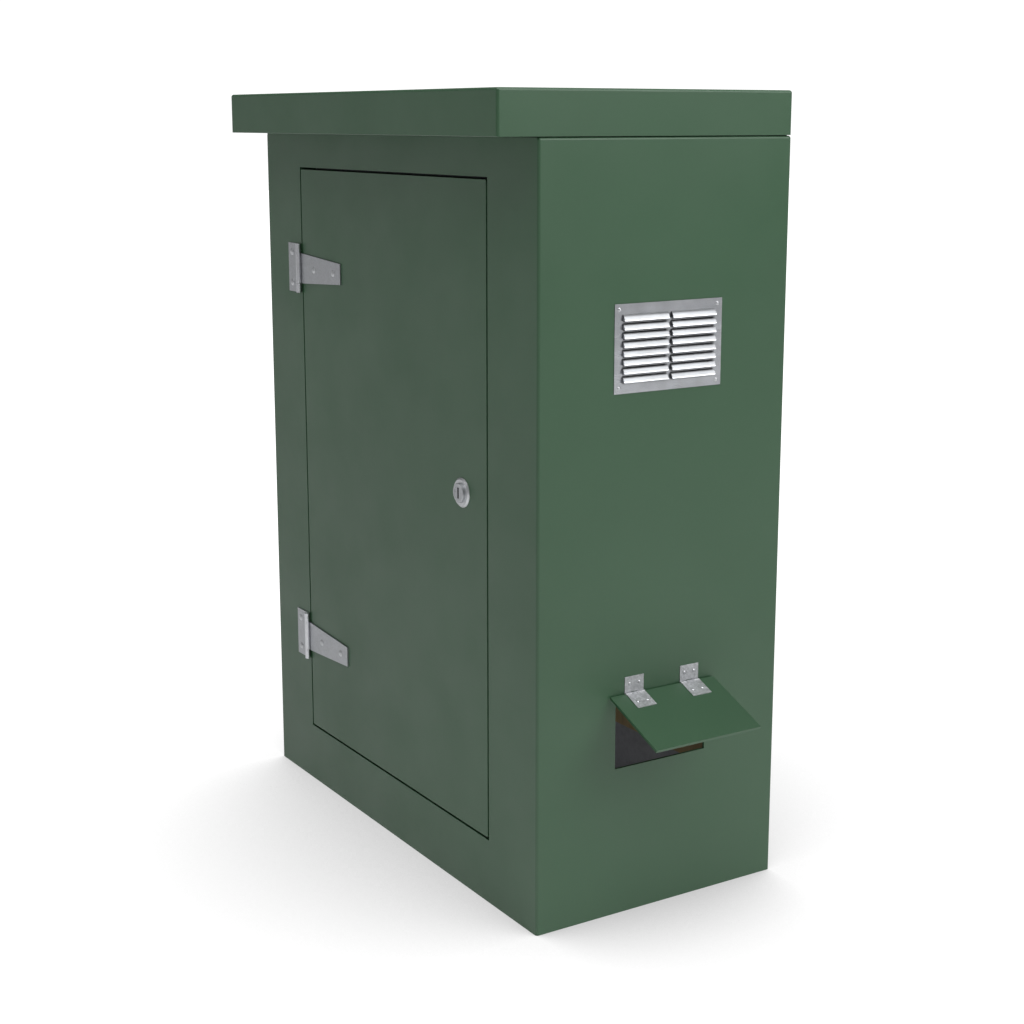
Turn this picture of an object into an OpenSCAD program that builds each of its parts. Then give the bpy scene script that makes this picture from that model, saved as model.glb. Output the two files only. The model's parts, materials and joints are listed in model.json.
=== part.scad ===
// Roadside utility cabinet: a moulded GRP kiosk with a flat canopy roof, a flush door on
// T hinges, a louvre vent and a top-hung cable flap in the right-hand side.
// Millimetres, +Z up. Origin: centre of the base, on the ground. The door faces -Y.

/* [Cabinet body] */
// Outside width of the body
body_w = 1050; // [870:1:1300]
// Outside depth of the body
body_d = 530; // [440:1:700]
// Height of the body, from the ground to its top flange
body_h = 1378; // [1140:1:1700]
// Thickness of the moulded walls
wall = 5; // [4:0.5:6]
// Radius of the upright and top outside edges
corner_r = 5; // [3:0.5:8]
// Width of the inward flange at the foot, from the outside face
base_flange_w = 60; // [50:1:80]
// Thickness of the foot flange
base_flange_t = 8; // [6:1:10]
// Width of the inward flange at the top, from the outside face
top_flange_w = 45; // [40:1:60]
// Distance of a holding-down hole from the two outside faces
base_hole_inset = 35; // [30:1:40]
// Diameter of the four holding-down holes
base_hole_d = 14; // [12:1:18]

/* [Roof] */
// Height of the canopy skirt
roof_h = 77; // [64:1:100]
// How far the canopy stands out past the door
roof_overhang = 78; // [50:1:120]
// Height of the shadow gap between body and canopy, filled by the seal
roof_gap = 1; // [0.5:0.5:5]
// Distance of the roof bolts from the outside faces
roof_bolt_inset = 27; // [24:1:30]

/* [Door] */
// Width of the door frame at each side of the opening
stile_w = 159; // [140:1:180]
// Height of the frame below the opening
sill_h = 121; // [90:1:160]
// Height of the frame above the opening
head_h = 67; // [50:1:100]
// Gap between door and opening, all round
door_gap = 4.5; // [3:0.5:7]
// Thickness of the door
door_t = 30; // [25:1:40]
// Width of the stop lip that the seal sits on
lip_w = 20; // [18:1:26]
// Thickness of the door seal
seal_t = 6; // [4:1:8]

/* [T hinges] */
// Upper hinge centre, below the top edge of the door
upper_hinge_drop = 200; // [120:1:260]
// Lower hinge centre, above the bottom edge of the door
lower_hinge_rise = 196; // [120:1:260]
// Distance of the hinge axis outside the opening
hinge_offset = 5; // [4:0.5:8]
// Thickness of plate and strap
leaf_t = 3; // [2.5:0.5:4]
// Outside radius of the knuckle
knuckle_r = 5.5; // [5:0.5:7]
// Radius of the hinge pin
hinge_pin_r = 2.5; // [2:0.1:2.7]
// Width of the cross plate, from the hinge axis
plate_w = 52; // [43:1:63]
// Height of the cross plate
plate_h = 100; // [90:1:120]
// Length of the tapered strap, from the hinge axis
strap_len = 183; // [152:1:220]
// Height of the strap at its root
strap_root_h = 62; // [50:1:64]
// Height of the strap at its tip
strap_tip_h = 41; // [30:1:48]

/* [Lock] */
// Lock axis in from the free edge of the door
lock_inset = 84.5; // [70:0.5:102]
// Lock axis above the bottom edge of the door
lock_rise = 626.5; // [500:0.5:760]
// Radius of the escutcheon
escutcheon_r = 27; // [24:0.5:33]
// Radius of the raised lock head
lock_head_r = 18; // [17:0.5:20]
// Radius of the threaded lock barrel
barrel_r = 15; // [14.5:0.5:16]
// Overlap of the cam behind the stop lip
cam_overlap = 11; // [6:0.5:12]

/* [Vent] */
// Width of the louvre vent
vent_w = 229; // [190:1:275]
// Height of the louvre vent
vent_h = 153; // [127:1:184]
// Centre of the vent, below the top of the body
vent_drop = 352.5; // [200:0.5:430]
// Centre of the vent, behind the middle of the side
vent_y = 2; // [-20:1:20]
// Plain border of the vent
vent_border = 16.5; // [15:0.5:20]
// Number of louvres in each of the two columns
louvre_rows = 8; // [6:1:8]
// How far a louvre stands out
louvre_out = 7; // [5:0.5:9]

/* [Cable flap] */
// Width of the cable opening
cable_w = 200; // [165:1:250]
// Height of the cable opening
cable_h = 124; // [100:1:150]
// Bottom edge of the cable opening above the ground
cable_bottom = 276; // [230:1:340]
// Overlap of the flap at each side of the opening
flap_side_lap = 14; // [10:1:20]
// Overlap of the flap above and below the opening
flap_end_lap = 11.75; // [9:0.25:16]
// Thickness of the flap
flap_t = 5; // [4:0.5:6]
// Angle of the flap as it stands, measured from hanging
flap_open = 68; // [0:1:120]
// Width of a flap hinge
butt_w = 41; // [34:1:50]
// Height of the leaf on the wall, above the hinge axis
butt_wall_h = 32; // [27:1:40]
// Length of the leaf on the flap, from the hinge axis
butt_flap_l = 40; // [34:1:48]

/* [Backboard] */
// Distance of the backboard from the outside face at each side
board_margin_w = 75; // [60:1:120]
// Bottom edge of the backboard above the ground
board_bottom = 168; // [100:1:240]
// Distance of the top edge below the top of the body
board_top_drop = 88; // [70:1:160]
// Thickness of the backboard
board_t = 15; // [12:1:21]
// Thickness of the battens behind it
batten_t = 20; // [16:1:30]

/* [Hidden] */
$fn = 64;
eps = 0.01;
through = 40;            // cutter length that passes any wall
clear = 0.3;             // between things that move past each other
hole_clear = 0.3;        // radial, a fixing in its hole
pin_clear = 0.05;        // radial, a pin in its knuckle or a thread in its nut

// Body
body_front = -body_d / 2;
body_back = body_d / 2;
body_side = body_w / 2;

// Door opening, door and stop lip; depths are counted inwards from the front face
opening_w = body_w - 2 * stile_w;
opening_h = body_h - sill_h - head_h;
opening_z = sill_h + opening_h / 2;
door_w = opening_w - 2 * door_gap;
door_h = opening_h - 2 * door_gap;
door_bottom = sill_h + door_gap;
door_top = door_bottom + door_h;
door_corner_r = 3;
liner_t = 4;
lip_depth = door_t + seal_t;
reveal_depth = lip_depth + wall;
seal_outer_inset = door_gap + 2;
seal_inner_inset = lip_w - 2;

// Roof
roof_z = body_h + roof_gap;
roof_d = body_d + roof_overhang;
roof_y = -roof_overhang / 2;
seal_inset = 6;           // seal edge inside the body's outer face
m8_r = 4;
m8_af = 13;
m8_nut_h = 6.5;
m8_head_h = 5.3;
m8_washer_r = 8;
m8_washer_t = 1.6;
roof_bolt_xy = [for (x = [-1, 0, 1], y = [-1, 1])
    [x * (body_side - roof_bolt_inset), y * (body_back - roof_bolt_inset)]];

// T hinges
hinge_x = -opening_w / 2 - hinge_offset;
upper_hinge_z = door_top - upper_hinge_drop;
lower_hinge_z = door_bottom + lower_hinge_rise;
hinge_zs = [upper_hinge_z, lower_hinge_z];
eye_gap = 0.5;           // between neighbouring knuckles
eye_notch = 0.8;         // plate edge to the strap's knuckle
leaf_root = 1;           // a leaf enters its knuckle this far from the axis
eye_seam = 2;            // open seam where the rolled eye comes back to its leaf
strap_straight = 6;      // straight root of the strap before the taper
plate_bolt_x = -36;
plate_bolt_y = 31.5;
strap_bolt_xs = [65, 152];
m6_r = 3;
m6_af = 10;
m6_nut_h = 5;
m6_tail = 2;             // thread past the nut
dome_r = 7;
dome_h = 3.2;

// Lock; depths are counted inwards from the front face
lock_x = door_w / 2 - lock_inset;
lock_z = door_bottom + lock_rise;
escutcheon_t = 4;
lock_head_h = 5;
plug_r = 13;
plug_step = 20;          // depth where the plug narrows
spindle_r = 8;
key_slot_w = 4.5;
key_slot_h = 20;
key_slot_depth = 6;
keeper_t = 1.5;
keeper_w = 18;
keeper_h = 60;
keeper_rivet_z = 24;
keeper_rivet_r = 2;
cam_gap = 0.5;
cam_t = 3;
cam_w = 20;
cam_depth = reveal_depth + keeper_t + cam_gap;
cam_reach = lock_inset + door_gap - lip_w + cam_overlap;
cam_seat = 10;           // square end of the plug
cam_washer_r = 9;
cam_washer_t = 1.5;
cam_screw_len = 12;
m6_head_h = 4;
barrel_depth = cam_depth - 3;
lock_nut_af = 40;
lock_nut_h = 6;

// Vent
vent_z = body_h - vent_drop;
vent_t = 1.2;
field_w = vent_w - 2 * vent_border;
field_h = vent_h - 2 * vent_border;
louvre_pitch = field_h / louvre_rows;
mullion_w = 8;
louvre_len = (field_w - mullion_w) / 2;
louvre_end_t = 0.8;
louvre_t = 1;
louvre_bulge = 1.2;
louvre_steps = 6;
louvre_top_gap = 1;      // blade root below the top of its row
louvre_foot_gap = 2.6;   // free edge above the bottom of its row
louvre_web = 0.8;        // sheet left below the slot and above the blade root
louvre_slot_h = louvre_pitch - louvre_top_gap - 2 * louvre_web;
vent_screw_inset_x = 10;
vent_screw_inset_y = 9.5;
vent_screw_x = vent_w / 2 - vent_screw_inset_x;
vent_screw_y = vent_h / 2 - vent_screw_inset_y;
m4_r = 2;
m4_af = 7;
m4_nut_h = 3.2;
m4_tail = 1.5;
m4_dome_r = 3.7;
m4_dome_h = 2;
screen_t = 1;
screen_lap = 11.5;

// Cable flap and its two butt hinges
flap_w = cable_w + 2 * flap_side_lap;
flap_len = cable_h + 2 * flap_end_lap;
flap_axis_z = cable_bottom + cable_h + flap_end_lap;
butt_t = 1.2;
butt_eye_r = 3.2;
butt_pin_r = 1.25;
butt_axis_out = flap_t / 2 + 1;      // hinge axis off the wall
flap_back = clear - butt_axis_out;   // back face of the flap, from the axis
flap_face = flap_back + flap_t;      // outer face of the flap, from the axis
butt_inset = 53;                     // leaf centre from the flap's end
butt_ys = [-(flap_w / 2 - butt_inset), flap_w / 2 - butt_inset];
butt_eye_w = butt_w / 3;
butt_outer_w = (butt_w - butt_eye_w) / 2 - clear;
butt_notch_d = 4;
rivet_r = 1.6;
rivet_head_r = 3.2;
rivet_head_h = 1.5;
rivet_tail_r = 2.6;
rivet_tail_h = 1.2;
butt_rivet_x = 10.5;
butt_wall_rivet = 18.5;
butt_flap_rivet = 24;

// Backboard
board_w = body_w - 2 * board_margin_w;
board_h = body_h - board_top_drop - board_bottom;
board_y = body_back - wall - batten_t - board_t;
batten_w = 45;
batten_end = 30;         // batten end inside the board's edge
batten_x = board_w / 3;
board_screw_xz = [for (x = [-1, 1], k = [0.1, 0.5, 0.9]) [x * batten_x, board_bottom + k * board_h]];
board_screw_r = 2.4;
board_screw_len = 30;
board_screw_head_r = 4.6;
board_screw_rim = 0.4;   // straight rim of the countersunk head
board_screw_sink = 0.3;  // flat of the head below the board's face

// ---- frames of reference ----

// On the front face: x to the right, y up, z out of the door
module on_front(x, z) translate([x, body_front, z]) rotate([90, 0, 0]) children();

// On the right-hand face: x to the back, y up, z out of the side
module on_side(y, z) translate([body_side, y, z]) rotate([90, 0, 90]) children();

// Hinge axis of the flap on the right-hand face, with the flap swung to its angle
module on_flap() on_side(0, flap_axis_z) translate([0, 0, butt_axis_out])
    rotate([-flap_open, 0, 0]) children();

// ---- shared shapes ----

// Box centred in X and Y, standing on z = 0
module block(w, d, h) translate([-w / 2, -d / 2, 0]) cube([w, d, h]);

// Rectangle with true round corners
module round_rect(w, h, r) {
    square([w - 2 * r, h], center = true);
    square([w, h - 2 * r], center = true);
    for (x = [-1, 1], y = [-1, 1]) translate([x * (w / 2 - r), y * (h / 2 - r)]) circle(r);
}

// Box with round upright edges and round top edges, sharp at the foot
module moulded_block(w, d, h, r) {
    linear_extrude(h - r) round_rect(w, d, r);
    translate([0, 0, h - 2 * r]) block(w - 2 * r, d - 2 * r, 2 * r);
    for (s = [-1, 1]) {
        translate([-w / 2 + r, s * (d / 2 - r), h - r]) rotate([0, 90, 0]) cylinder(r = r, h = w - 2 * r);
        translate([s * (w / 2 - r), d / 2 - r, h - r]) rotate([90, 0, 0]) cylinder(r = r, h = d - 2 * r);
        for (t = [-1, 1]) translate([s * (w / 2 - r), t * (d / 2 - r), h - r]) sphere(r);
    }
}

// Flat rectangular ring between two sizes
module frame_ring(w1, h1, w2, h2, t) linear_extrude(t) difference() {
    square([w1, h1], center = true);
    square([w2, h2], center = true);
}

// Hexagon nut standing on z = 0
module nut(af, bore_r, h) difference() {
    cylinder(d = af / cos(30), h = h, $fn = 6);
    translate([0, 0, -eps]) cylinder(r = bore_r + pin_clear, h = h + 2 * eps);
}

// Domed head on z = 0 as a cap of a sphere
module dome(r, h) {
    ball_r = (r * r + h * h) / (2 * h);
    intersection() {
        translate([0, 0, h - ball_r]) sphere(ball_r);
        cylinder(r = r, h = h);
    }
}

// Domed bolt: head above z = 0, shank below it
module domed_bolt(r, head_r, head_h, length) {
    dome(head_r, head_h);
    translate([0, 0, -length]) cylinder(r = r, h = length + eps);
}

// Rivet: head above z = 0, formed tail below the grip
module rivet(grip) {
    domed_bolt(rivet_r, rivet_head_r, rivet_head_h, grip + eps);
    translate([0, 0, -grip - rivet_tail_h]) cylinder(r = rivet_tail_r, h = rivet_tail_h);
}

// Hole along z through anything near z = 0
module drill(r) translate([0, 0, -through / 2]) cylinder(r = r, h = through);

// ---- hole patterns ----

module at_plate_bolts() for (z = hinge_zs, y = [-1, 1])
    on_front(hinge_x + plate_bolt_x, z + y * plate_bolt_y) children();

module at_strap_bolts() for (z = hinge_zs, x = strap_bolt_xs) on_front(hinge_x + x, z) children();

module at_vent_screws() for (x = [-1, 1], y = [-1, 1])
    on_side(vent_y, vent_z) translate([x * vent_screw_x, y * vent_screw_y, 0]) children();

module at_wall_rivets() for (y = butt_ys, x = [-1, 1])
    on_side(y + x * butt_rivet_x, flap_axis_z + butt_wall_rivet) children();

// In the frame of on_flap
module at_flap_rivets() for (y = butt_ys, x = [-1, 1])
    translate([y + x * butt_rivet_x, -butt_flap_rivet, 0]) children();

module at_roof_bolts() for (p = roof_bolt_xy) translate([p[0], p[1], 0]) children();

module at_board_screws() for (p = board_screw_xz) translate([p[0], board_y, p[1]])
    rotate([90, 0, 0]) children();

module at_keeper_rivets() for (z = [-1, 1])
    on_front(opening_w / 2 - lip_w / 2, lock_z + z * keeper_rivet_z)
        translate([0, 0, -reveal_depth]) children();

// ---- cabinet ----

module body_shell() color("#4d6652") difference() {
    union() {
        difference() {
            moulded_block(body_w, body_d, body_h, corner_r);
            translate([0, 0, base_flange_t])
                block(body_w - 2 * wall, body_d - 2 * wall, body_h - base_flange_t - wall);
            translate([0, 0, -eps])
                block(body_w - 2 * base_flange_w, body_d - 2 * base_flange_w, base_flange_t + 1);
            translate([0, 0, body_h - wall - 1])
                block(body_w - 2 * top_flange_w, body_d - 2 * top_flange_w, wall + 2);
        }
        on_front(0, opening_z) translate([0, 0, -reveal_depth]) linear_extrude(reveal_depth - wall / 2)
            square([opening_w + 2 * wall, opening_h + 2 * wall], center = true);
    }
    on_front(0, opening_z) translate([0, 0, -lip_depth])
        linear_extrude(lip_depth + 1) square([opening_w, opening_h], center = true);
    on_front(0, opening_z) translate([0, 0, -reveal_depth - 1])
        linear_extrude(reveal_depth) square([opening_w - 2 * lip_w, opening_h - 2 * lip_w], center = true);
    on_side(0, cable_bottom) translate([-cable_w / 2, 0, -wall - 1]) cube([cable_w, cable_h, wall + 2]);
    on_side(vent_y, vent_z) translate([-field_w / 2, -field_h / 2, -wall - 1])
        cube([field_w, field_h, wall + 2]);
    at_plate_bolts() drill(m6_r + hole_clear);
    at_vent_screws() drill(m4_r + hole_clear);
    at_wall_rivets() drill(rivet_r + pin_clear);
    at_keeper_rivets() drill_lip();
    translate([0, 0, body_h]) at_roof_bolts() drill(m8_r + hole_clear);
    for (x = [-1, 1], y = [-1, 1])
        translate([x * (body_side - base_hole_inset), y * (body_back - base_hole_inset), 0])
            drill(base_hole_d / 2);
}

// Hole for a keeper rivet, through the lip only
module drill_lip() translate([0, 0, -keeper_t - 1])
    cylinder(r = keeper_rivet_r + pin_clear, h = wall + keeper_t + 2);

module roof_canopy() color("#4a6650") translate([0, roof_y, roof_z]) difference() {
    moulded_block(body_w, roof_d, roof_h, corner_r);
    translate([0, 0, -eps]) block(body_w - 2 * wall, roof_d - 2 * wall, roof_h - wall);
}

module roof_soffit() color("#45574a") difference() {
    translate([0, roof_y, roof_z]) block(body_w - 2 * wall, roof_d - 2 * wall, wall);
    translate([0, 0, roof_z]) at_roof_bolts() drill(m8_r + hole_clear);
}

module roof_seal() color("#1c1d1e") difference() {
    translate([0, 0, body_h])
        frame_ring(body_w - 2 * seal_inset, body_d - 2 * seal_inset,
            body_w - 2 * top_flange_w, body_d - 2 * top_flange_w, roof_gap);
    translate([0, 0, body_h]) at_roof_bolts() drill(m8_r + hole_clear);
}

module roof_bolts() color("#9b9fa3") translate([0, 0, body_h - wall - m8_washer_t]) at_roof_bolts() {
    translate([0, 0, -m8_head_h]) cylinder(d = m8_af / cos(30), h = m8_head_h, $fn = 6);
    translate([0, 0, -eps]) cylinder(r = m8_r, h = m8_washer_t + 2 * wall + roof_gap + m8_nut_h + 2);
}

module roof_washers() color("#a7abae") translate([0, 0, body_h - wall - m8_washer_t])
    at_roof_bolts() difference() {
        cylinder(r = m8_washer_r, h = m8_washer_t);
        drill(m8_r + hole_clear);
    }

module roof_nuts() color("#9b9fa3") translate([0, 0, roof_z + wall])
    at_roof_bolts() nut(m8_af, m8_r, m8_nut_h);

// The door presses on this seal when it is shut
module door_seal() color("#1c1d1e") on_front(0, opening_z) translate([0, 0, -lip_depth])
    frame_ring(opening_w - 2 * seal_outer_inset, opening_h - 2 * seal_outer_inset,
        opening_w - 2 * seal_inner_inset, opening_h - 2 * seal_inner_inset, seal_t - clear);

module lock_keeper() color("#a3a7ab") difference() {
    on_front(opening_w / 2 - lip_w / 2, lock_z)
        translate([-keeper_w / 2, -keeper_h / 2, -reveal_depth - keeper_t])
            cube([keeper_w, keeper_h, keeper_t]);
    at_keeper_rivets() drill_lip();
}

module keeper_rivets() color("#b0b3b6") at_keeper_rivets() translate([0, 0, -keeper_t])
    cylinder(r = keeper_rivet_r, h = wall + keeper_t);

// ---- T hinges, each drawn about the hinge axis ----

// Rolled knuckle between two heights; side tells where its open seam lies
module rolled_eye(low, high, side) translate([0, low, knuckle_r]) difference() {
    rotate([-90, 0, 0]) cylinder(r = knuckle_r, h = high - low);
    translate([side > 0 ? knuckle_r / 2 : -1.5 * knuckle_r, -eps, leaf_t - knuckle_r])
        cube([knuckle_r, high - low + 2 * eps, eye_seam]);
}

module pin_bore() translate([0, -plate_h / 2 - 1, knuckle_r]) rotate([-90, 0, 0])
    cylinder(r = hinge_pin_r + pin_clear, h = plate_h + 2);

module hinge_plate(z) color("#989b9f") difference() {
    on_front(hinge_x, z) difference() {
        union() {
            translate([-plate_w, -plate_h / 2, 0]) cube([plate_w - leaf_root, plate_h, leaf_t]);
            rolled_eye(strap_root_h / 2 + eye_gap, plate_h / 2, -1);
            rolled_eye(-plate_h / 2, -strap_root_h / 2 - eye_gap, -1);
        }
        translate([-knuckle_r - eye_notch, -strap_root_h / 2 - eye_gap, -1])
            cube([knuckle_r + eye_notch, strap_root_h + 2 * eye_gap, leaf_t + 2]);
        pin_bore();
    }
    at_plate_bolts() drill(m6_r + hole_clear);
}

module upper_hinge_plate() hinge_plate(upper_hinge_z);
module lower_hinge_plate() hinge_plate(lower_hinge_z);

module hinge_pin(z) color("#85888c") on_front(hinge_x, z) translate([0, -plate_h / 2, knuckle_r])
    rotate([-90, 0, 0]) cylinder(r = hinge_pin_r, h = plate_h);

module upper_hinge_pin() hinge_pin(upper_hinge_z);
module lower_hinge_pin() hinge_pin(lower_hinge_z);

module hinge_strap(z) color("#9da0a4") difference() {
    on_front(hinge_x, z) difference() {
        union() {
            linear_extrude(leaf_t) polygon([
                [leaf_root, -strap_root_h / 2], [strap_straight, -strap_root_h / 2],
                [strap_len, -strap_tip_h / 2], [strap_len, strap_tip_h / 2],
                [strap_straight, strap_root_h / 2], [leaf_root, strap_root_h / 2]
            ]);
            rolled_eye(-strap_root_h / 2, strap_root_h / 2, 1);
        }
        pin_bore();
    }
    at_strap_bolts() drill(m6_r + hole_clear);
}

module upper_hinge_strap() hinge_strap(upper_hinge_z);
module lower_hinge_strap() hinge_strap(lower_hinge_z);

// Domed bolt through a leaf and a moulded skin, and its nut behind the skin
module leaf_bolt() translate([0, 0, leaf_t])
    domed_bolt(m6_r, dome_r, dome_h, leaf_t + wall + m6_nut_h + m6_tail);

module leaf_nut() translate([0, 0, -wall - m6_nut_h]) nut(m6_af, m6_r, m6_nut_h);

module hinge_plate_bolts() color("#b7babd") at_plate_bolts() leaf_bolt();
module hinge_plate_nuts() color("#a0a3a6") at_plate_bolts() leaf_nut();
module strap_bolts() color("#b7babd") at_strap_bolts() leaf_bolt();
module strap_nuts() color("#a0a3a6") at_strap_bolts() leaf_nut();

// ---- door ----

module door_panel() color("#4c5b4f") difference() {
    on_front(0, opening_z) translate([0, 0, -door_t]) linear_extrude(door_t)
        round_rect(door_w, door_h, door_corner_r);
    on_front(0, opening_z) translate([0, 0, -door_t - 1]) linear_extrude(door_t - wall + 1)
        square([door_w - 2 * wall, door_h - 2 * wall], center = true);
    at_strap_bolts() drill(m6_r + hole_clear);
    on_front(lock_x, lock_z) drill(barrel_r + hole_clear);
}

module door_liner() color("#46554a") difference() {
    on_front(0, opening_z) translate([0, 0, -door_t]) linear_extrude(liner_t)
        square([door_w - 2 * wall, door_h - 2 * wall], center = true);
    on_front(lock_x, lock_z) translate([0, 0, -door_t]) drill(barrel_r + hole_clear);
}

// ---- lock, turned about its own axis ----

module lock_escutcheon() color("#b4b7ba") on_front(lock_x, lock_z) rotate_extrude() polygon([
    [barrel_r + hole_clear, 0], [escutcheon_r, 0], [escutcheon_r, escutcheon_t / 4],
    [escutcheon_r - escutcheon_t * 0.75, escutcheon_t], [barrel_r + hole_clear, escutcheon_t]
]);

module lock_housing() color("#a9acb0") on_front(lock_x, lock_z) rotate_extrude() polygon([
    [spindle_r + pin_clear, -barrel_depth], [barrel_r, -barrel_depth], [barrel_r, escutcheon_t],
    [lock_head_r, escutcheon_t], [lock_head_r, escutcheon_t + lock_head_h - 1],
    [lock_head_r - 1, escutcheon_t + lock_head_h], [plug_r + pin_clear, escutcheon_t + lock_head_h],
    [plug_r + pin_clear, -plug_step], [spindle_r + pin_clear, -plug_step]
]);

module lock_nut() color("#9b9ea1") on_front(lock_x, lock_z) translate([0, 0, -wall - lock_nut_h])
    nut(lock_nut_af, barrel_r, lock_nut_h);

module lock_plug() color("#a2a5a9") on_front(lock_x, lock_z) difference() {
    union() {
        rotate_extrude() polygon([
            [0, -cam_depth], [spindle_r, -cam_depth], [spindle_r, clear - plug_step],
            [plug_r, clear - plug_step], [plug_r, escutcheon_t + lock_head_h - clear],
            [0, escutcheon_t + lock_head_h - clear]
        ]);
        translate([0, 0, -cam_depth - cam_t]) block(cam_seat, cam_seat, cam_t + 1);
    }
    translate([0, 0, escutcheon_t + lock_head_h - clear - key_slot_depth])
        block(key_slot_w, key_slot_h, key_slot_depth + 1);
    translate([0, 0, -cam_depth - cam_t - eps])
        cylinder(r = m6_r + pin_clear, h = cam_screw_len + 2);
}

// Points up while the lock is open; a quarter turn takes it behind the keeper
module lock_cam() color("#8f9296") on_front(lock_x, lock_z) translate([0, 0, -cam_depth - cam_t])
    linear_extrude(cam_t) difference() {
        union() {
            translate([-cam_w / 2, 0]) square([cam_w, cam_reach - cam_w / 2]);
            circle(d = cam_w);
            translate([0, cam_reach - cam_w / 2]) circle(d = cam_w);
        }
        square(cam_seat + 2 * pin_clear, center = true);
    }

module cam_screw() color("#9b9ea1") on_front(lock_x, lock_z) translate([0, 0, -cam_depth - cam_t]) {
    translate([0, 0, -cam_washer_t]) cylinder(r = cam_washer_r, h = cam_washer_t);
    translate([0, 0, -cam_washer_t - m6_head_h])
        cylinder(d = m6_af / cos(30), h = m6_head_h + eps, $fn = 6);
    translate([0, 0, -eps]) cylinder(r = m6_r, h = cam_screw_len);
}

// ---- vent ----

// Points of a gentle bulge between two points of the blade section
function bulge(a, b, normal, height, n) =
    [for (i = [0:n]) let (u = i / n) a + (b - a) * u + normal * height * 4 * u * (1 - u)];

// Blade section: x is outwards, y is up, for a row whose bottom edge is y = 0
blade_root = [vent_t, louvre_pitch - louvre_top_gap];
blade_edge = [vent_t + louvre_out, louvre_foot_gap];
blade_run = blade_edge - blade_root;
blade_normal = [-blade_run[1], blade_run[0]] / norm(blade_run);
blade_outer = bulge(blade_root, blade_edge, blade_normal, louvre_bulge, louvre_steps);
blade_inner = [for (i = [louvre_steps:-1:0]) blade_outer[i] - blade_normal * louvre_t];
blade_end = concat(blade_outer, [[vent_t / 2, louvre_foot_gap], [vent_t / 2, blade_root[1]]]);

// Extrude a section that lies in the out-and-up plane, from x = 0 to x = length
module along_vent(length) translate([length, 0, 0]) rotate([0, -90, 0]) linear_extrude(length)
    children();

module louvre() {
    along_vent(louvre_len) polygon(concat(blade_outer, blade_inner));
    along_vent(louvre_end_t) polygon(blade_end);
    translate([louvre_len - louvre_end_t, 0, 0]) along_vent(louvre_end_t) polygon(blade_end);
}

module at_louvres() for (c = [-field_w / 2, mullion_w / 2], i = [0:louvre_rows - 1])
    translate([c, -field_h / 2 + i * louvre_pitch, 0]) children();

module vent_louvre() color("#c3c6c9") difference() {
    on_side(vent_y, vent_z) {
        difference() {
            linear_extrude(vent_t) square([vent_w, vent_h], center = true);
            at_louvres() translate([louvre_end_t, louvre_web, -1])
                cube([louvre_len - 2 * louvre_end_t, louvre_slot_h, vent_t + 2]);
        }
        at_louvres() louvre();
    }
    at_vent_screws() drill(m4_r + hole_clear);
}

module vent_screen() color("#54585c") difference() {
    on_side(vent_y, vent_z) translate([0, 0, -wall - screen_t]) linear_extrude(screen_t)
        square([field_w + 2 * screen_lap, field_h + 2 * screen_lap], center = true);
    at_vent_screws() drill(m4_r + hole_clear);
}

module vent_screws() color("#d0d2d4") at_vent_screws() translate([0, 0, vent_t])
    domed_bolt(m4_r, m4_dome_r, m4_dome_h, vent_t + wall + screen_t + m4_nut_h + m4_tail);

module vent_nuts() color("#a0a3a6") at_vent_screws() translate([0, 0, -wall - screen_t - m4_nut_h])
    nut(m4_af, m4_r, m4_nut_h);

// ---- flap hinges, drawn about the hinge axis: x along it, y up, z outwards ----

module butt_eye(x, w) translate([x, 0, 0]) rotate([0, 90, 0]) cylinder(r = butt_eye_r, h = w);

module butt_bore() rotate([0, 90, 0]) translate([0, 0, -butt_w / 2 - 1])
    cylinder(r = butt_pin_r + pin_clear, h = butt_w + 2);

module wall_leaf(y) color("#b3b6b9") difference() {
    on_side(y, flap_axis_z) translate([0, 0, butt_axis_out]) difference() {
        union() {
            translate([-butt_w / 2, butt_eye_r + clear, -butt_axis_out])
                cube([butt_w, butt_wall_h - butt_eye_r - clear, butt_t]);
            for (x = [-butt_w / 2, butt_w / 2 - butt_outer_w]) {
                translate([x, leaf_root, -butt_axis_out]) cube([butt_outer_w, butt_eye_r, butt_t]);
                butt_eye(x, butt_outer_w);
            }
        }
        butt_bore();
    }
    at_wall_rivets() drill(rivet_r + pin_clear);
}

module front_wall_leaf() wall_leaf(butt_ys[0]);
module rear_wall_leaf() wall_leaf(butt_ys[1]);

module flap_leaf(y) color("#a9acaf") on_flap() difference() {
    translate([y, 0, 0]) difference() {
        union() {
            translate([-butt_w / 2, -butt_flap_l, flap_face])
                cube([butt_w, butt_flap_l - butt_eye_r - clear, butt_t]);
            translate([-butt_eye_w / 2, -leaf_root - butt_eye_r, flap_face])
                cube([butt_eye_w, butt_eye_r, butt_t]);
            butt_eye(-butt_eye_w / 2, butt_eye_w);
        }
        butt_bore();
    }
    at_flap_rivets() drill(rivet_r + pin_clear);
}

module front_flap_leaf() flap_leaf(butt_ys[0]);
module rear_flap_leaf() flap_leaf(butt_ys[1]);

module flap_hinge_pins() color("#85888c") for (y = butt_ys)
    on_side(y, flap_axis_z) translate([-butt_w / 2, 0, butt_axis_out]) rotate([0, 90, 0])
        cylinder(r = butt_pin_r, h = butt_w);

module wall_leaf_rivets() color("#dadbdc") at_wall_rivets() translate([0, 0, butt_t])
    rivet(butt_t + wall);

module flap_leaf_rivets() color("#dadbdc") on_flap() at_flap_rivets()
    translate([0, 0, flap_face + butt_t]) rivet(butt_t + flap_t);

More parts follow.
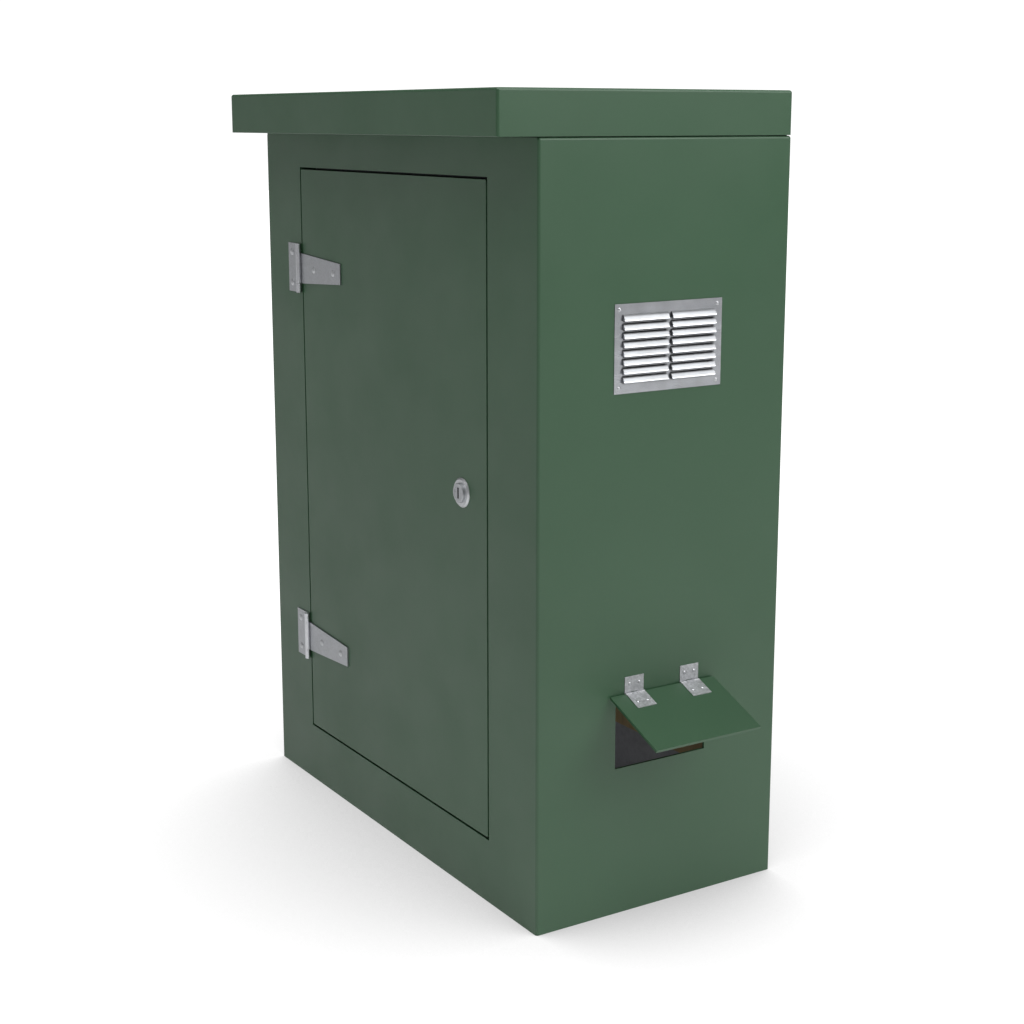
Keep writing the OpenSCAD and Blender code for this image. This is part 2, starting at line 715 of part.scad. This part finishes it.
module flap_panel() color("#435e48") on_flap() difference() {
    translate([-flap_w / 2, -flap_len, flap_back]) cube([flap_w, flap_len, flap_t]);
    for (y = butt_ys) translate([y - butt_w / 2 - 1, -butt_notch_d, flap_back - 1])
        cube([butt_w + 2, butt_notch_d + 1, flap_t + 2]);
    at_flap_rivets() drill(rivet_r + pin_clear);
}

// ---- backboard ----

// Countersunk screw along z with its head just under the board's face at z = 0
module board_screw(play, top) rotate_extrude() polygon([
    [0, -board_screw_len], [board_screw_r + play, -board_screw_len],
    [board_screw_r + play, board_screw_r - board_screw_head_r - board_screw_rim - board_screw_sink],
    [board_screw_head_r + play, -board_screw_rim - board_screw_sink],
    [board_screw_head_r + play, top], [0, top]
]);

module backboard() color("#5c4a30") difference() {
    translate([-board_w / 2, board_y, board_bottom]) cube([board_w, board_t, board_h]);
    at_board_screws() board_screw(pin_clear, 1);
}

module backboard_battens() color("#7a6848") difference() {
    for (x = [-1, 1]) translate([x * batten_x - batten_w / 2, board_y + board_t, board_bottom + batten_end])
        cube([batten_w, batten_t, board_h - 2 * batten_end]);
    at_board_screws() board_screw(pin_clear, 1);
}

module backboard_screws() color("#a5a08e") at_board_screws() board_screw(0, -board_screw_sink);

body_shell();
roof_canopy();
roof_soffit();
roof_seal();
roof_bolts();
roof_washers();
roof_nuts();
door_seal();
upper_hinge_plate();
lower_hinge_plate();
upper_hinge_pin();
lower_hinge_pin();
hinge_plate_bolts();
hinge_plate_nuts();
lock_keeper();
keeper_rivets();
vent_louvre();
vent_screen();
vent_screws();
vent_nuts();
front_wall_leaf();
rear_wall_leaf();
flap_hinge_pins();
wall_leaf_rivets();
backboard();
backboard_battens();
backboard_screws();
door_panel();
door_liner();
upper_hinge_strap();
lower_hinge_strap();
strap_bolts();
strap_nuts();
lock_escutcheon();
lock_housing();
lock_nut();
lock_plug();
lock_cam();
cam_screw();
flap_panel();
front_flap_leaf();
rear_flap_leaf();
flap_leaf_rivets();
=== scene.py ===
"""Looks for a roadside utility cabinet: a moulded GRP kiosk with a canopy roof, a door on T hinges,
a louvre vent and a cable flap. Metres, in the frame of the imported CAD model."""

import json
import math

import bmesh
import bpy
from mathutils import Matrix, Vector


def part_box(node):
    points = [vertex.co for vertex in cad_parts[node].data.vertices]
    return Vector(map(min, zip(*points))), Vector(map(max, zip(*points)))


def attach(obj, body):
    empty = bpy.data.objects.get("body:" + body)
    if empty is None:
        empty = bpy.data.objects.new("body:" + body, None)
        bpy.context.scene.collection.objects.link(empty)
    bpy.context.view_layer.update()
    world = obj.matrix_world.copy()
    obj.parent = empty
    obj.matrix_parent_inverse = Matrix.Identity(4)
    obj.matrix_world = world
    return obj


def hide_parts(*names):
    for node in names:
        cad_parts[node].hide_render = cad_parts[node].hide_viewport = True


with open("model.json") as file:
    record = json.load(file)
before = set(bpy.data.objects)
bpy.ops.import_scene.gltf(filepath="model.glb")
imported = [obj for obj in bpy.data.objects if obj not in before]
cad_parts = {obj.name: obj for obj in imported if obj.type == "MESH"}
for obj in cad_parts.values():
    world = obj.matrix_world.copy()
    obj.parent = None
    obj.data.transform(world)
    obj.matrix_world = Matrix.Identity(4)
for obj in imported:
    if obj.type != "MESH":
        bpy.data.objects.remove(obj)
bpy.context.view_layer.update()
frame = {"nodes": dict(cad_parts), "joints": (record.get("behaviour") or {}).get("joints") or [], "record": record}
MM = 0.001


# ---- camera, light and floor ----

def look_matrix(position, forward):
    """World matrix of a camera or lamp at position that looks along forward, with no roll."""
    forward = Vector(forward).normalized()
    right = forward.cross(Vector((0, 0, 1))).normalized()
    up = right.cross(forward)
    turn = Matrix((right, up, -forward)).transposed().to_4x4()
    return Matrix.Translation(position) @ turn


def add_camera():
    """Camera at the photograph's place: to the right of the door, a little below the roof."""
    position = (2.908, -1.811, 1.4065)
    yaw = math.radians(57.888)
    pitch = math.radians(11.477)
    forward = (-math.sin(yaw) * math.cos(pitch), math.cos(yaw) * math.cos(pitch), -math.sin(pitch))
    data = bpy.data.cameras.new("camera")
    data.sensor_width = 36
    data.lens = 61.33
    data.shift_y = -0.0378
    camera = bpy.data.objects.new("camera", data)
    camera.matrix_world = look_matrix(position, forward)
    bpy.context.scene.collection.objects.link(camera)
    bpy.context.scene.camera = camera


def add_softbox(name, position, target, size, power, gloss_only=False):
    """Square soft light that faces the target. A gloss_only one is a card that just shows as a reflection."""
    data = bpy.data.lights.new(name, "AREA")
    data.shape = "SQUARE"
    data.size = size
    data.energy = power
    lamp = bpy.data.objects.new(name, data)
    lamp.matrix_world = look_matrix(position, Vector(target) - Vector(position))
    lamp.visible_diffuse = not gloss_only
    bpy.context.scene.collection.objects.link(lamp)


def add_studio():
    """White surroundings, two softboxes, a card that only shows as a reflection, and a pale floor."""
    scene = bpy.context.scene
    scene.view_settings.view_transform = "Standard"
    world = bpy.data.worlds.new("studio")
    scene.world = world
    world.use_nodes = True
    tree = world.node_tree
    tree.nodes.clear()
    seen = tree.nodes.new("ShaderNodeBackground")
    seen.inputs["Color"].default_value = (1, 1, 1, 1)
    seen.inputs["Strength"].default_value = 1.1
    lit = tree.nodes.new("ShaderNodeBackground")
    lit.inputs["Color"].default_value = (0.97, 0.985, 1, 1)
    lit.inputs["Strength"].default_value = 0.172
    ray = tree.nodes.new("ShaderNodeLightPath")
    mix = tree.nodes.new("ShaderNodeMixShader")
    out = tree.nodes.new("ShaderNodeOutputWorld")
    tree.links.new(ray.outputs["Is Camera Ray"], mix.inputs[0])
    tree.links.new(lit.outputs[0], mix.inputs[1])
    tree.links.new(seen.outputs[0], mix.inputs[2])
    tree.links.new(mix.outputs[0], out.inputs["Surface"])
    add_softbox("key_softbox", (3.7, 2.1, 3.6), (0.5, 0, 0.9), size=3.4, power=112)
    add_softbox("top_softbox", (0.6, -0.6, 4.6), (0.2, 0, 0), size=4.0, power=119)
    add_softbox("left_card", (-4.4, -3.2, 0.9), (0, -0.3, 0.7), size=3.2, power=7.8, gloss_only=True)
    floor_mesh = bpy.data.meshes.new("floor")
    half = 30
    floor_mesh.from_pydata([(-half, -half, 0), (half, -half, 0), (half, half, 0), (-half, half, 0)],
                           [], [(0, 1, 2, 3)])
    floor = bpy.data.objects.new("floor", floor_mesh)
    scene.collection.objects.link(floor)
    floor.data.materials.append(floor_material())


# ---- materials ----

class Nodes:
    """Short way to build a node material."""

    def __init__(self, name):
        self.material = bpy.data.materials.new(name)
        self.material.use_nodes = True
        self.tree = self.material.node_tree
        self.shader = self.tree.nodes["Principled BSDF"]
        self.coords = self.add("ShaderNodeTexCoord").outputs["Object"]

    def add(self, kind, **values):
        node = self.tree.nodes.new(kind)
        for key, value in values.items():
            setattr(node, key, value)
        return node

    def link(self, source, target):
        self.tree.links.new(source, target)

    def set(self, **values):
        for key, value in values.items():
            self.shader.inputs[key.replace("_", " ")].default_value = value

    def stretched(self, scale):
        """Object coordinates, scaled per axis."""
        node = self.add("ShaderNodeMapping")
        node.inputs["Scale"].default_value = scale
        self.link(self.coords, node.inputs["Vector"])
        return node.outputs["Vector"]

    def noise(self, scale, detail=3, rough=0.5, coords=None, distortion=0):
        node = self.add("ShaderNodeTexNoise")
        node.inputs["Scale"].default_value = scale
        node.inputs["Detail"].default_value = detail
        node.inputs["Roughness"].default_value = rough
        node.inputs["Distortion"].default_value = distortion
        self.link(coords or self.coords, node.inputs["Vector"])
        return node.outputs["Fac"]

    def ramp(self, source, stops):
        """Colour ramp; stops are (place, colour)."""
        node = self.add("ShaderNodeValToRGB")
        ramp = node.color_ramp
        while len(ramp.elements) < len(stops):
            ramp.elements.new(0.5)
        for element, (place, colour) in zip(ramp.elements, stops):
            element.position = place
            element.color = (*colour, 1)
        self.link(source, node.inputs["Fac"])
        return node.outputs["Color"]

    def range(self, source, low, high, src_low=0.3, src_high=0.7):
        node = self.add("ShaderNodeMapRange")
        node.inputs["From Min"].default_value = src_low
        node.inputs["From Max"].default_value = src_high
        node.inputs["To Min"].default_value = low
        node.inputs["To Max"].default_value = high
        self.link(source, node.inputs["Value"])
        return node.outputs["Result"]

    def math(self, operation, a, b):
        node = self.add("ShaderNodeMath", operation=operation)
        for socket, value in zip(node.inputs, (a, b)):
            if isinstance(value, (int, float)):
                socket.default_value = value
            else:
                self.link(value, socket)
        return node.outputs[0]

    def mix(self, fac, a, b, blend="MIX"):
        node = self.add("ShaderNodeMix", data_type="RGBA", blend_type=blend)
        for socket, value in ((node.inputs[0], fac), (node.inputs[6], a), (node.inputs[7], b)):
            if isinstance(value, (int, float)):
                socket.default_value = value
            elif isinstance(value, tuple):
                socket.default_value = (*value, 1)
            else:
                self.link(value, socket)
        return node.outputs[2]

    def bump(self, *layers):
        """Bump from (height, strength, depth in metres) layers, one on the other."""
        normal = None
        for height, strength, depth in layers:
            node = self.add("ShaderNodeBump")
            node.inputs["Strength"].default_value = strength
            node.inputs["Distance"].default_value = depth
            self.link(height, node.inputs["Height"])
            if normal is not None:
                self.link(normal, node.inputs["Normal"])
            normal = node.outputs["Normal"]
        self.link(normal, self.shader.inputs["Normal"])


def shade(colour, factor):
    return tuple(c * factor for c in colour)


def floor_material():
    """Pale floor that is burnt out to white in the picture, save for the soft shadow at the foot."""
    shadow_reach = 2.5
    burn = 1.33
    n = Nodes("studio_floor")
    n.link(n.range(n.noise(1.5, 2), 0.79, 0.81), n.shader.inputs["Base Color"])
    n.set(Roughness=0.9, Emission_Color=(1, 1, 1, 1), Emission_Strength=0.25, Specular_IOR_Level=0.1)
    # Painted shadow: for camera rays the floor glows in proportion to its occlusion, which paints the shadow at
    # the foot.
    contact = n.add("ShaderNodeAmbientOcclusion", samples=16)
    contact.inputs["Distance"].default_value = shadow_reach
    burnt = n.add("ShaderNodeEmission")
    n.link(n.math("MULTIPLY", contact.outputs["AO"], burn), burnt.inputs["Strength"])
    ray = n.add("ShaderNodeLightPath")
    mix = n.add("ShaderNodeMixShader")
    n.link(ray.outputs["Is Camera Ray"], mix.inputs[0])
    n.link(n.shader.outputs[0], mix.inputs[1])
    n.link(burnt.outputs[0], mix.inputs[2])
    n.link(mix.outputs[0], n.tree.nodes["Material Output"].inputs["Surface"])
    return n.material


def gelcoat_material(name, colour, roughness=0.42):
    """Smooth moulded gelcoat: faint long waves of the mould, a fine orange peel, soft colour drift."""
    n = Nodes(name)
    drift = n.noise(2.2, 3, 0.5)
    grain = n.noise(420, 2, 0.6)
    base = n.ramp(drift, [(0.3, shade(colour, 0.955)), (0.7, shade(colour, 1.045))])
    fine = n.range(grain, 0.975, 1.025)
    n.link(n.mix(1, base, fine, "MULTIPLY"), n.shader.inputs["Base Color"])
    n.link(n.range(n.noise(7, 4, 0.6), roughness - 0.05, roughness + 0.05), n.shader.inputs["Roughness"])
    n.set(Specular_IOR_Level=0.7)
    n.bump((n.noise(5, 1, 0.4), 0.15, 0.0016), (n.noise(190, 2, 0.5), 0.10, 0.00022),
           (grain, 0.06, 0.00010))
    return n.material


def inner_coat_material():
    """Grey flow coat over the glass-fibre mat on the inside: rough, with the mat showing."""
    n = Nodes("inner_flowcoat")
    mat = n.noise(90, 6, 0.7, distortion=0.8)
    base = n.ramp(mat, [(0.3, (0.29, 0.293, 0.325)), (0.7, (0.38, 0.384, 0.42))])
    n.link(base, n.shader.inputs["Base Color"])
    n.link(n.range(n.noise(30, 3), 0.5, 0.7), n.shader.inputs["Roughness"])
    n.bump((mat, 0.5, 0.0008), (n.noise(300, 3), 0.2, 0.0002))
    return n.material


def zinc_material(name, colour, roughness, spangle=0.10, metallic=1.0):
    """Zinc plating: small spangle and soft cloudy patches."""
    n = Nodes(name)
    cells = n.add("ShaderNodeTexVoronoi")
    cells.inputs["Scale"].default_value = 330
    n.link(n.coords, cells.inputs["Vector"])
    flake = n.range(cells.outputs["Color"], 1 - spangle, 1 + spangle, 0.0, 1.0)
    cloud = n.noise(38, 4, 0.6)
    base = n.ramp(cloud, [(0.3, shade(colour, 0.90)), (0.7, shade(colour, 1.08))])
    n.link(n.mix(1, base, flake, "MULTIPLY"), n.shader.inputs["Base Color"])
    rough = n.math("ADD", n.range(cloud, roughness - 0.05, roughness + 0.07),
                   n.range(cells.outputs["Color"], -0.03, 0.03, 0.0, 1.0))
    n.link(rough, n.shader.inputs["Roughness"])
    n.set(Metallic=metallic)
    n.bump((n.noise(700, 2), 0.15, 0.00006), (cloud, 0.10, 0.0002))
    return n.material


def galvanised_material():
    """Hot-dip zinc gone dull: pale, mottled by the spangle and half matt."""
    n = Nodes("dull_galvanising")
    cells = n.add("ShaderNodeTexVoronoi")
    cells.inputs["Scale"].default_value = 290
    n.link(n.coords, cells.inputs["Vector"])
    cloud = n.noise(55, 4, 0.65)
    base = n.ramp(cloud, [(0.3, (0.46, 0.47, 0.49)), (0.7, (0.60, 0.61, 0.63))])
    flake = n.range(cells.outputs["Color"], 0.74, 1.16, 0.0, 1.0)
    n.link(n.mix(1, base, flake, "MULTIPLY"), n.shader.inputs["Base Color"])
    n.link(n.range(cells.outputs["Color"], 0.42, 0.60, 0.0, 1.0), n.shader.inputs["Roughness"])
    n.set(Metallic=0.68)
    n.bump((cells.outputs["Distance"], 0.15, 0.0001), (n.noise(900, 2), 0.15, 0.00005))
    return n.material


def brushed_material(name, colour, roughness, stretch, cloudy_with_gap_shade=False):
    """Metal with fine lines along one axis; stretch scales the noise per axis. The last flag makes it
    cloudier and paints shade into it: darker where another face is a few millimetres off."""
    cloudiness = 0.10 if cloudy_with_gap_shade else 0.04
    n = Nodes(name)
    lines = n.noise(60, 4, 0.6, n.stretched(stretch))
    cloud = n.noise(26, 3, 0.5)
    base = n.ramp(lines, [(0.3, shade(colour, 0.92)), (0.7, shade(colour, 1.06))])
    base = n.mix(1, base, n.range(cloud, 1 - cloudiness, 1 + cloudiness), "MULTIPLY")
    # Painted shade: occlusion within ten millimetres darkens the colour in the louvre gaps and at the blade roots.
    if cloudy_with_gap_shade:
        gap_width = 10 * MM
        gap = n.add("ShaderNodeAmbientOcclusion", samples=8)
        gap.inputs["Distance"].default_value = gap_width
        base = n.mix(1, base, n.range(gap.outputs["AO"], 0.20, 1.0, 0.45, 0.85), "MULTIPLY")
    n.link(base, n.shader.inputs["Base Color"])
    n.link(n.range(lines, roughness - 0.06, roughness + 0.06), n.shader.inputs["Roughness"])
    n.set(Metallic=1.0)
    n.bump((lines, 0.12, 0.00005))
    return n.material


def rubber_material():
    """Black sealing rubber with a fine grain."""
    n = Nodes("epdm_rubber")
    fine = n.noise(500, 3)
    n.link(n.ramp(fine, [(0.3, (0.011, 0.011, 0.012)), (0.7, (0.019, 0.019, 0.020))]),
           n.shader.inputs["Base Color"])
    n.link(n.range(n.noise(60, 3), 0.62, 0.8), n.shader.inputs["Roughness"])
    n.bump((fine, 0.3, 0.0001))
    return n.material


def wood_material(name, pale, dark, stretch):
    """Timber or ply face: long grain with pores and a few growth bands."""
    n = Nodes(name)
    along = n.stretched(stretch)
    bands = n.noise(9, 5, 0.62, along, 0.9)
    pores = n.noise(120, 3, 0.7, along)
    base = n.ramp(bands, [(0.30, dark), (0.52, shade(pale, 0.9)), (0.72, pale)])
    n.link(n.mix(1, base, n.range(pores, 0.86, 1.08), "MULTIPLY"), n.shader.inputs["Base Color"])
    n.link(n.range(pores, 0.55, 0.75), n.shader.inputs["Roughness"])
    n.bump((pores, 0.35, 0.0002), (bands, 0.2, 0.0004))
    return n.material


def ply_edge_material():
    """Cut edge of plywood: thin veneers, alternately pale and dark."""
    n = Nodes("ply_edge")
    wave = n.add("ShaderNodeTexWave", wave_type="BANDS", bands_direction="Y")
    wave.inputs["Scale"].default_value = 105
    wave.inputs["Distortion"].default_value = 0.6
    n.link(n.coords, wave.inputs["Vector"])
    n.link(n.ramp(wave.outputs["Fac"], [(0.3, (0.20, 0.125, 0.055)), (0.7, (0.45, 0.33, 0.17))]),
           n.shader.inputs["Base Color"])
    n.set(Roughness=0.75)
    n.bump((wave.outputs["Fac"], 0.3, 0.0002))
    return n.material


GREEN = (0.036, 0.103, 0.0475)
# Paler green for the canopy's lower front edge: a painted highlight.
LIP_HIGHLIGHT_GREEN = (0.15, 0.215, 0.165)
ZINC = (0.44, 0.45, 0.47)


def make_materials():
    """One material for each of the record's slots, and more for single faces and nodes."""
    return {
        "grp_green": gelcoat_material("green_gelcoat", GREEN),
        # Painted highlight: the paler gelcoat of the canopy's lower front edge.
        "grp_painted_highlight": gelcoat_material("gelcoat_painted_lip_highlight", LIP_HIGHLIGHT_GREEN),
        "grp_inner": inner_coat_material(),
        "seal_rubber": rubber_material(),
        "zinc_steel": zinc_material("zinc_plate", ZINC, 0.36),
        # Paler zinc for the hinge knuckles: a painted highlight.
        "zinc_painted_highlight": zinc_material("knuckle_zinc_painted_highlight", (0.74, 0.75, 0.78), 0.34, 0.05),
        "galvanised": galvanised_material(),
        "bright_fixings": zinc_material("bright_zinc_fixing", (0.62, 0.63, 0.65), 0.30, 0.05),
        "hinge_bolts": zinc_material("dull_zinc_bolt", (0.66, 0.67, 0.69), 0.52, 0.05, 0.75),
        "vent_aluminium": brushed_material("satin_aluminium", (0.68, 0.695, 0.73), 0.26, (1, 0.06, 1), True),
        "vent_blades": brushed_material("blade_aluminium", (0.37, 0.38, 0.395), 0.36, (1, 0.06, 1), True),
        "screen_wire": brushed_material("screen_wire", (0.20, 0.21, 0.22), 0.5, (1, 1, 1)),
        "plywood": wood_material("ply_face", (0.55, 0.40, 0.19), (0.34, 0.225, 0.095), (0.9, 1, 0.05)),
        "ply_edge": ply_edge_material(),
        "batten_timber": wood_material("sawn_timber", (0.36, 0.25, 0.14), (0.17, 0.10, 0.05), (1, 1, 0.06)),
        "board_screws": zinc_material("yellow_passivate", (0.55, 0.45, 0.24), 0.3, 0.05),
        "lock_chrome": brushed_material("satin_chrome", (0.54, 0.55, 0.57), 0.44, (1, 1, 1)),
        "lock_flange": brushed_material("flange_chrome", (0.68, 0.69, 0.71), 0.46, (1, 1, 1)),
        "lock_plug_metal": brushed_material("plug_nickel", (0.46, 0.47, 0.49), 0.30, (1, 1, 1)),
        # Near-black colour: painted shade for the backs of the louvre blades and inside the key slot.
        "dark_painted_shade": brushed_material("dark_painted_shade", (0.05, 0.05, 0.052), 0.6, (1, 1, 1)),
    }


MATERIALS = make_materials()
JOINT_AT = {joint["name"]: joint["pos_m"] for joint in frame["joints"]}
# CAD nodes whose finish differs from their slot's
FINISH_OF = {
    "lock_escutcheon": "lock_flange",
    "hinge_plate_bolts": "hinge_bolts",
    "strap_bolts": "hinge_bolts",
}
SLOT_OF = {row["node"]: row["material_slot"] for row in frame["record"]["subparts"]}


def body_of(node):
    """Name of the body that a CAD node belongs to."""
    for body, nodes in frame["record"]["behaviour"]["bodies"].items():
        if node in nodes:
            return body
    raise KeyError(node)


def add_piece(name, mesh, node):
    """A new piece on the body of a CAD node; its materials come with the mesh."""
    piece = bpy.data.objects.new(name, mesh)
    bpy.context.scene.collection.objects.link(piece)
    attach(piece, body_of(node))
    return piece


# ---- pieces ----

def soft_edges(node, width, segments=3, inner=None, finish=None, reshape=None):
    """The CAD node's own shape with its sharp edges rounded, as every moulded or rolled edge is.
    inner(centre, normal) names the material of a face that differs from finish. reshape(mesh) moves
    vertices first, and the top edges of such a node stay square."""
    least_angle = math.radians(35)
    top = math.inf
    mesh = bmesh.new()
    mesh.from_mesh(frame["nodes"][node].data)
    bmesh.ops.remove_doubles(mesh, verts=mesh.verts, dist=1e-6)
    bmesh.ops.dissolve_limit(mesh, angle_limit=math.radians(1), verts=mesh.verts, edges=mesh.edges)
    if reshape:
        reshape(mesh)
        top = max(v.co.z for v in mesh.verts) - 0.1 * MM
    sharp = [e for e in mesh.edges if len(e.link_faces) == 2
             and e.calc_face_angle(0) > least_angle and min(v.co.z for v in e.verts) < top]
    for edge in mesh.edges:
        edge.smooth = min(v.co.z for v in edge.verts) < top
    bmesh.ops.bevel(mesh, geom=sharp, offset=width, segments=segments, profile=0.5,
                    affect="EDGES", clamp_overlap=True)
    data = bpy.data.meshes.new(node + "_finished")
    names = [finish or SLOT_OF[node]]
    if inner:
        for face in mesh.faces:
            pick = inner(face.calc_center_median(), face.normal)
            if pick and pick not in names:
                names.append(pick)
            face.material_index = names.index(pick) if pick else 0
    for face in mesh.faces:
        face.smooth = True
    mesh.to_mesh(data)
    mesh.free()
    for name in names:
        data.materials.append(MATERIALS[name])
    piece = add_piece(node + "_finished", data, node)
    weighted = piece.modifiers.new("weighted", "WEIGHTED_NORMAL")
    weighted.keep_sharp = True
    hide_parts(node)


def make_shell_lining():
    """Picker for the faces on the inside of the body, which carry the grey flow coat."""
    low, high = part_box("body_shell")
    seal_low, seal_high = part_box("door_seal")
    skin = 4 * MM
    reveal = 8 * MM

    def pick(centre, normal):
        inside = (low.x + skin < centre.x < high.x - skin and low.y + skin < centre.y < high.y - skin
                  and centre.z < high.z - skin)
        in_front = centre.y < seal_low.y - reveal / 2
        beside = (seal_low.x - reveal < centre.x < seal_high.x + reveal
                  and seal_low.z - reveal < centre.z < seal_high.z + reveal)
        return "grp_inner" if inside and not (in_front and beside) else None

    return pick


def ply_faces(centre, normal):
    """The cut edges of the board."""
    return "ply_edge" if abs(normal.y) < 0.5 else None


def knuckle_faces(centre, normal):
    """The rolled eye, in a paler zinc than the flat plate as a painted highlight."""
    axis = JOINT_AT["door_hinge"]
    eye_radius = 5.7 * MM
    return "zinc_painted_highlight" if math.hypot(centre.x - axis[0], centre.y - axis[1]) < eye_radius else None


def blade_faces(centre, normal):
    """The tops of the louvre blades, and their backs, which get a near-black colour as painted shade."""
    if abs(normal.y) > 0.5 or abs(normal.z) < 0.3:
        return None
    return "vent_blades" if normal.z > 0 else "dark_painted_shade"


def make_lip_highlight():
    """Picker for the lower front edge of the canopy, which gets a paler green as a painted highlight."""
    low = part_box("roof_canopy")[0]
    edge = 2.1 * MM

    def pick(centre, normal):
        at_edge = centre.z < low.z + edge and centre.y < low.y + edge
        return "grp_painted_highlight" if at_edge and normal.z < -0.1 else None

    return pick


def square_front_top(mesh):
    """Takes the body's front wall straight up to the canopy's underside, in place of its rounded top."""
    low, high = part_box("body_shell")
    rounding = 5 * MM
    reach = 0.95 * rounding
    for vert in mesh.verts:
        if (vert.co.z > high.z - rounding and vert.co.y < low.y + reach
                and abs(vert.co.x) < high.x - reach):
            vert.co.y = low.y


def make_key_slot():
    """Picker for the sides and floor of the key slot, which get a near-black colour as painted shade."""
    axis = JOINT_AT["lock_turn"]
    half_width = 2.4 * MM
    half_height = 10.2 * MM
    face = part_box("lock_plug")[0].y
    mouth = face + 0.2 * MM
    slot_end = face + 8 * MM

    def pick(centre, normal):
        in_slot = abs(centre.x - axis[0]) < half_width and abs(centre.z - axis[2]) < half_height
        return "dark_painted_shade" if in_slot and mouth < centre.y < slot_end else None

    return pick


def make_screen():
    """Woven wire screen in a folded rim, where the CAD has a plain sheet."""
    low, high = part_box("vent_screen")
    mesh = bmesh.new()
    pitch = 3.2 * MM
    wire = 0.28 * MM
    weave = 0.6 * wire
    middle = (low.x + high.x) / 2
    span = {1: (low.y, high.y), 2: (low.z, high.z)}

    def strand(axis, place, phase):
        """A wavy square wire along one axis at a fixed place on the other."""
        a, b = span[axis]
        steps = int((b - a) / pitch * 2)
        rings = []
        for i in range(steps + 1):
            along = a + (b - a) * i / steps
            lift = weave * (1 if (i + phase) % 2 else -1)
            ring = []
            for dx, ds in ((-1, -1), (1, -1), (1, 1), (-1, 1)):
                point = [middle + lift + dx * wire / 2, 0, 0]
                point[axis] = along
                point[3 - axis] = place + ds * wire / 2
                ring.append(mesh.verts.new(point))
            rings.append(ring)
        for r, s in zip(rings, rings[1:]):
            for k in range(4):
                mesh.faces.new((r[k], r[(k + 1) % 4], s[(k + 1) % 4], s[k]))
        mesh.faces.new(rings[0][::-1])
        mesh.faces.new(rings[-1])

    for axis in (1, 2):
        a, b = span[3 - axis]
        count = int((b - a) / pitch)
        for i in range(1, count):
            strand(axis, a + (b - a) * i / count, i)
    rim = 9 * MM
    for y0, y1, z0, z1 in ((low.y, low.y + rim, low.z, high.z), (high.y - rim, high.y, low.z, high.z),
                           (low.y + rim, high.y - rim, low.z, low.z + rim),
                           (low.y + rim, high.y - rim, high.z - rim, high.z)):
        corners = [Vector((x, y, z)) for x in (low.x, high.x) for y in (y0, y1) for z in (z0, z1)]
        bmesh.ops.convex_hull(mesh, input=[mesh.verts.new(c) for c in corners])
    data = bpy.data.meshes.new("vent_screen_woven")
    bmesh.ops.recalc_face_normals(mesh, faces=mesh.faces)
    mesh.to_mesh(data)
    mesh.free()
    data.materials.append(MATERIALS["screen_wire"])
    piece = add_piece("vent_screen_woven", data, "vent_screen")
    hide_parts("vent_screen")


def finish_cad_nodes():
    """Every CAD node that still shows gets its slot's material and smooth shading."""
    for name, node in frame["nodes"].items():
        node.data.materials.clear()
        node.data.materials.append(MATERIALS[FINISH_OF.get(name, SLOT_OF[name])])
        node.data.shade_smooth()
        node.data.set_sharp_from_angle(angle=math.radians(32))


add_camera()
add_studio()
finish_cad_nodes()
soft_edges("body_shell", 1.2 * MM, inner=make_shell_lining(), reshape=square_front_top)
soft_edges("roof_canopy", 2.0 * MM, inner=make_lip_highlight())
soft_edges("door_panel", 1.5 * MM)
soft_edges("flap_panel", 1.0 * MM)
soft_edges("backboard", 0.5 * MM, 2, inner=ply_faces)
for plate in ("upper_hinge_plate", "lower_hinge_plate", "upper_hinge_strap", "lower_hinge_strap"):
    soft_edges(plate, 0.4 * MM, 2, inner=knuckle_faces)
for leaf in ("front_wall_leaf", "rear_wall_leaf", "front_flap_leaf", "rear_flap_leaf"):
    soft_edges(leaf, 0.2 * MM, 2, finish="galvanised")
soft_edges("vent_louvre", 0.15 * MM, 2, inner=blade_faces)
soft_edges("lock_plug", 0.2 * MM, 2, inner=make_key_slot())
make_screen()
